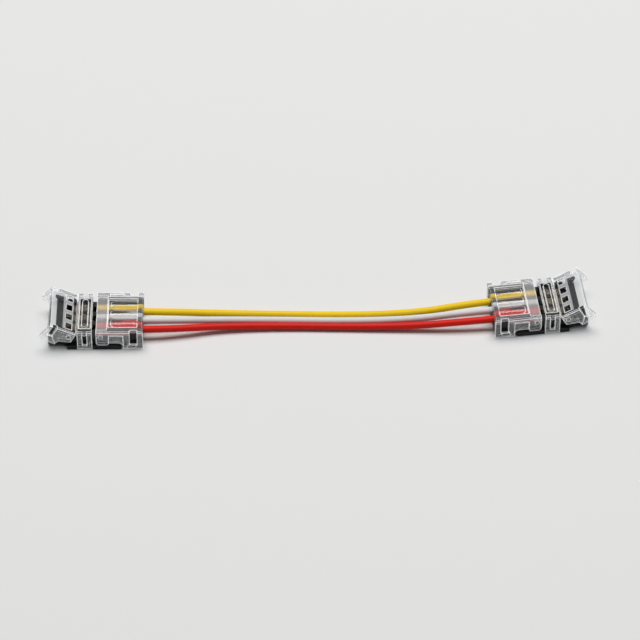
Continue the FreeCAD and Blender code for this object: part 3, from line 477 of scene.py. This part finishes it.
def round_curve(name, diameter, round_steps):
    """An empty curve with a round section and closed ends."""
    curve = bpy.data.curves.new(name, "CURVE")
    curve.dimensions = "3D"
    curve.bevel_depth = diameter / 2
    curve.bevel_resolution = round_steps
    curve.use_fill_caps = True
    return curve


def turn_to(thing, aim):
    """Turn a lamp or camera to look at a place."""
    thing.rotation_euler = (aim - thing.location).to_track_quat("-Z", "Y").to_euler()


class WireSettings(bpy.types.PropertyGroup):
    """Sizes and colours of the three wires."""

    insulation_diameter: FloatProperty(
        name="Insulation diameter", description="Outside of a wire",
        default=0.0018, unit="LENGTH", subtype="DISTANCE", precision=5)
    strand_diameter: FloatProperty(
        name="Strand diameter", description="One strand of a conductor",
        default=0.00031, unit="LENGTH", subtype="DISTANCE", precision=5)
    strand_reach: FloatProperty(
        name="Strand reach", description="Strands beyond the cut insulation",
        default=0.00015, unit="LENGTH", subtype="DISTANCE", precision=5)
    yellow: FloatVectorProperty(
        name="Yellow", description="Insulation of the far wire",
        default=(1.0, 0.67, 0.012), subtype="COLOR", min=0.0, max=1.0)
    white: FloatVectorProperty(
        name="White", description="Insulation of the middle wire",
        default=(0.80, 0.80, 0.795), subtype="COLOR", min=0.0, max=1.0)
    red: FloatVectorProperty(
        name="Red", description="Insulation of the near wire",
        default=(0.78, 0.014, 0.006), subtype="COLOR", min=0.0, max=1.0)
    insulation_roughness: FloatProperty(
        name="Insulation roughness", description="Dullness of the insulation",
        default=0.5, subtype="FACTOR", min=0.0, max=1.0)
    insulation_sheen: FloatProperty(
        name="Insulation sheen", description="Strength of the insulation's reflections",
        default=0.2, subtype="FACTOR", min=0.0, max=1.0)


class MouldingSettings(bpy.types.PropertyGroup):
    """Finishes of the mouldings and contacts."""

    black_colour: FloatVectorProperty(
        name="Black", description="Base moulding",
        default=(0.006, 0.006, 0.007), subtype="COLOR", min=0.0, max=1.0)
    black_roughness: FloatProperty(
        name="Black roughness", description="Dullness of the base",
        default=0.38, subtype="FACTOR", min=0.0, max=1.0)
    black_sheen: FloatProperty(
        name="Black sheen", description="Strength of the base's reflections",
        default=0.25, subtype="FACTOR", min=0.0, max=1.0)
    clear_tint: FloatVectorProperty(
        name="Clear tint", description="Colour of the clear plastic",
        default=(0.985, 0.99, 0.995), subtype="COLOR", min=0.0, max=1.0)
    clear_roughness: FloatProperty(
        name="Clear roughness", description="Haze of the clear plastic",
        default=0.03, subtype="FACTOR", min=0.0, max=1.0)
    clear_index: FloatProperty(
        name="Refractive index", description="How strongly the clear plastic bends light",
        default=2.0, min=1.0, max=2.5)
    clear_gloss: FloatProperty(
        name="Clear gloss", description="Strength of the clear plastic's reflections",
        default=0.36, subtype="FACTOR", min=0.0, max=1.0)
    thinness: FloatProperty(
        name="Thinness", description="Light that passes the clear plastic unbent",
        default=0.08, subtype="FACTOR", min=0.0, max=1.0)
    side_thinness: FloatProperty(
        name="Side thinness", description="More of it through the outer side faces",
        default=0.35, subtype="FACTOR", min=0.0, max=1.0)
    under_thinness: FloatProperty(
        name="Under thinness", description="More of it through the undersides",
        default=0.9, subtype="FACTOR", min=0.0, max=1.0)
    tip_thinness: FloatProperty(
        name="Tip thinness", description="More of it through the faces at the two ends",
        default=0.55, subtype="FACTOR", min=0.0, max=1.0)
    wall_thinness: FloatProperty(
        name="Wall thinness", description="More of it through the inner side faces",
        default=0.8, subtype="FACTOR", min=0.0, max=1.0)
    pane_blur: FloatProperty(
        name="Pane blur", description="Haze of the panes beside the hinges",
        default=0.45, subtype="FACTOR", min=0.0, max=1.0)
    pane_frost: FloatProperty(
        name="Pane frost", description="Frosting of the panes beside the hinges",
        default=0.13, subtype="FACTOR", min=0.0, max=1.0)
    ridge_frost: FloatProperty(
        name="Ridge frost", description="Frosting of the wire covers' ridges",
        default=0.08, subtype="FACTOR", min=0.0, max=1.0)
    vent_frost: FloatProperty(
        name="Vent frost", description="Frosting round the flaps' windows",
        default=0.48, subtype="FACTOR", min=0.0, max=1.0)
    side_frost: FloatProperty(
        name="Side frost", description="Frosting of the clear side faces",
        default=0.01, subtype="FACTOR", min=0.0, max=1.0)
    # Painted highlight along the clear edges: its width, its strength and its painted glow
    edge_width: FloatProperty(
        name="Edge width", description="Whitish band along the clear edges",
        default=0.00034, unit="LENGTH", subtype="DISTANCE", precision=5)
    edge_highlight_strength: FloatProperty(
        name="Edge strength", description="Whiteness of the clear edges",
        default=0.95, subtype="FACTOR", min=0.0, max=1.0)
    edge_glow: FloatProperty(
        name="Edge glow", description="Light that the clear edges carry",
        default=0.4, min=0.0, max=1.0)
    # Contact colour: tin darkened with painted shade from inside the housing
    contact_shaded_colour: FloatVectorProperty(
        name="Contact", description="Tin-plated contact metal",
        default=(0.12, 0.10, 0.074), subtype="COLOR", min=0.0, max=1.0)
    contact_roughness: FloatProperty(
        name="Contact roughness", description="Dullness of the contacts",
        default=0.4, subtype="FACTOR", min=0.0, max=1.0)


class StageSettings(bpy.types.PropertyGroup):
    """Floor, lamp, sky and camera."""

    floor_colour: FloatVectorProperty(
        name="Floor", description="Pale paper",
        default=(0.775, 0.775, 0.770), subtype="COLOR", min=0.0, max=1.0)
    sky_strength: FloatProperty(
        name="Sky", description="Even light from all sides",
        default=0.12, min=0.0)
    key_power: FloatProperty(
        name="Key", description="Soft lamp above and behind",
        default=30.6, unit="POWER", min=0.0)
    key_width: FloatProperty(
        name="Key width", description="The lamp along the lead",
        default=1.5, unit="LENGTH", subtype="DISTANCE")
    key_depth: FloatProperty(
        name="Key depth", description="The lamp across the lead",
        default=0.9, unit="LENGTH", subtype="DISTANCE")
    key_place: FloatVectorProperty(
        name="Key place", description="The lamp from the middle of the view",
        default=(0.05, 0.47, 1.63), unit="LENGTH", subtype="XYZ")
    elevation: FloatProperty(
        name="Elevation", description="Camera above the horizon",
        default=math.radians(46.98), unit="ROTATION", subtype="ANGLE")
    distance: FloatProperty(
        name="Distance", description="Camera to the middle of the view",
        default=1.0, unit="LENGTH", subtype="DISTANCE")
    scale: FloatProperty(
        name="Photo scale", description="Photo pixels per millimetre",
        default=4.0, min=0.1)
    aim: FloatVectorProperty(
        name="Aim", description="Middle of the view",
        default=(0.0533, 0.00308, 0.0), unit="LENGTH", subtype="XYZ", precision=5)


def lay_wire(colour, route, settings):
    """One wire's insulation along its route."""
    curve = round_curve(f"wire_{colour}", settings.insulation_diameter, WIRE_ROUND_STEPS)
    curve.resolution_u = WIRE_ROUTE_STEPS
    spline = curve.splines.new("NURBS")
    spline.points.add(len(route) - 1)
    for point, place in zip(spline.points, route):
        point.co = (*place, 1.0)
    spline.order_u = 3
    spline.use_endpoint_u = True
    wire = link(f"wire_{colour}", curve)
    dress(wire, insulation_material(colour, settings))
    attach(wire, "lead")
    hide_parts(f"wire_{colour}_insulation")
    return wire


def lay_strands(colour, route, settings):
    """The strands that show at a wire's two cut ends: one in the middle and six round it."""
    curve = round_curve(f"wire_{colour}_strands", settings.strand_diameter, STRAND_ROUND_STEPS)
    for tip, inner in ((route[0], route[1]), (route[-1], route[-2])):
        tip = Vector(tip)
        outward = (tip - Vector(inner)).normalized()
        across = outward.cross(Vector(UPWARD)).normalized()
        upward = across.cross(outward)
        for number in range(STRANDS_AROUND + 1):
            spline = curve.splines.new("POLY")
            spline.points.add(STRAND_STEPS)
            for step, point in enumerate(spline.points):
                part = step / STRAND_STEPS
                along = -STRAND_HIDDEN + (STRAND_HIDDEN + settings.strand_reach) * part
                spread = settings.strand_diameter if number else 0.0
                angle = math.tau * number / STRANDS_AROUND + along * STRAND_TWIST
                offset = across * math.cos(angle) + upward * math.sin(angle)
                point.co = (*(tip + outward * along + offset * spread), 1.0)
    strands = link(f"wire_{colour}_strands", curve)
    dress(strands, strand_material())
    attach(strands, "lead")
    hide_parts(f"wire_{colour}_conductor")
    return strands


class CONNECTOR_OT_wires(bpy.types.Operator):
    """Lay the three insulated wires between the connectors."""

    bl_idname = "connector.wires"
    bl_label = "Wires"

    def execute(self, context):
        settings = context.scene.connector_wires
        for colour, route in WIRE_ROUTES.items():
            wire = lay_wire(colour, route, settings)
            strands = lay_strands(colour, route, settings)
        return {"FINISHED"}


class CONNECTOR_OT_bases(bpy.types.Operator):
    """Finish the two black bases."""

    bl_idname = "connector.bases"
    bl_label = "Black bases"

    def execute(self, context):
        material = black_material(context.scene.connector_mouldings)
        for end in ENDS:
            dress(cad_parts[f"{end}_base"], material)
        return {"FINISHED"}


class CONNECTOR_OT_clear_mouldings(bpy.types.Operator):
    """Finish the bridges, strip flaps and wire covers in clear plastic."""

    bl_idname = "connector.clear_mouldings"
    bl_label = "Clear mouldings"

    def execute(self, context):
        for end in ENDS:
            material = clear_material(context.scene.connector_mouldings, end)
            for piece in ("bridge", "strip_flap", "wire_cover"):
                dress(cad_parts[f"{end}_{piece}"], material)
        return {"FINISHED"}


class CONNECTOR_OT_contacts(bpy.types.Operator):
    """Finish the stamped contacts."""

    bl_idname = "connector.contacts"
    bl_label = "Contacts"

    def execute(self, context):
        material = contact_material(context.scene.connector_mouldings)
        for end in ENDS:
            for colour in WIRE_ROUTES:
                dress(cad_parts[f"{end}_contact_{colour}"], material)
        return {"FINISHED"}


class CONNECTOR_OT_stage(bpy.types.Operator):
    """Set the pale floor, the soft light and the camera."""

    bl_idname = "connector.stage"
    bl_label = "Stage"

    def execute(self, context):
        settings = context.scene.connector_stage
        aim = Vector(settings.aim)
        self.lay_floor(settings)
        self.light(context.scene, settings, aim)
        self.set_camera(context.scene, settings, aim)
        context.scene.view_settings.view_transform = "Standard"
        return {"FINISHED"}

    def lay_floor(self, settings):
        """A wide flat sheet under both connectors."""
        mesh = bpy.data.meshes.new("floor")
        corners = ((-1, -1), (1, -1), (1, 1), (-1, 1))
        places = [(x * FLOOR_REACH, y * FLOOR_REACH, 0.0) for x, y in corners]
        mesh.from_pydata(places, [], [(0, 1, 2, 3)])
        floor = link("floor", mesh)
        dress(floor, floor_material(settings))

    def light(self, scene, settings, aim):
        """An even sky and one wide lamp."""
        world = bpy.data.worlds.new("soft_room")
        world.use_nodes = True
        sky = world.node_tree.nodes["Background"]
        sky.inputs["Color"].default_value = (1.0, 1.0, 1.0, 1.0)
        sky.inputs["Strength"].default_value = settings.sky_strength
        scene.world = world
        data = bpy.data.lights.new("key", "AREA")
        data.shape = "RECTANGLE"
        data.size = settings.key_width
        data.size_y = settings.key_depth
        data.energy = settings.key_power
        key = link("key", data)
        key.location = aim + Vector(settings.key_place)
        turn_to(key, aim)

    def set_camera(self, scene, settings, aim):
        """The photograph's viewpoint: far away and narrow."""
        data = bpy.data.cameras.new("camera")
        data.sensor_width = SENSOR_WIDTH
        data.lens = SENSOR_WIDTH * settings.scale / MM * settings.distance / PHOTO_PIXELS
        data.clip_start = CLIP_NEAR
        data.clip_end = CLIP_FAR
        camera = link("camera", data)
        camera.location = aim + Vector((
            0.0,
            -settings.distance * math.cos(settings.elevation),
            settings.distance * math.sin(settings.elevation),
        ))
        turn_to(camera, aim)
        scene.camera = camera


class CONNECTOR_PT_lead(bpy.types.Panel):
    """Lists the lead's settings and the buttons that make its pieces."""

    bl_idname = "CONNECTOR_PT_lead"
    bl_label = "Strip connector lead"
    bl_space_type = "VIEW_3D"
    bl_region_type = "UI"
    bl_category = "Connector"

    def draw(self, context):
        scene = context.scene
        mouldings = ("connector.bases", "connector.clear_mouldings", "connector.contacts")
        for group, operators in (
            (scene.connector_wires, ("connector.wires",)),
            (scene.connector_mouldings, mouldings),
            (scene.connector_stage, ("connector.stage",)),
        ):
            column = self.layout.column()
            for name in group.__annotations__:
                column.prop(group, name)
            for operator in operators:
                column.operator(operator)


SETTINGS = {
    "connector_wires": WireSettings,
    "connector_mouldings": MouldingSettings,
    "connector_stage": StageSettings,
}
CLASSES = (
    *SETTINGS.values(),
    CONNECTOR_OT_wires,
    CONNECTOR_OT_bases,
    CONNECTOR_OT_clear_mouldings,
    CONNECTOR_OT_contacts,
    CONNECTOR_OT_stage,
    CONNECTOR_PT_lead,
)


def register():
    """Make the settings, operators and panel known."""
    for item in CLASSES:
        bpy.utils.register_class(item)
    for name, group in SETTINGS.items():
        setattr(bpy.types.Scene, name, PointerProperty(type=group))


def unregister():
    """Take them away again."""
    for name in SETTINGS:
        delattr(bpy.types.Scene, name)
    for item in reversed(CLASSES):
        bpy.utils.unregister_class(item)


def main():
    """Make every piece and the stage."""
    register()
    bpy.ops.connector.stage()
    bpy.ops.connector.wires()
    bpy.ops.connector.bases()
    bpy.ops.connector.clear_mouldings()
    bpy.ops.connector.contacts()


if __name__ == "__main__":
    main()
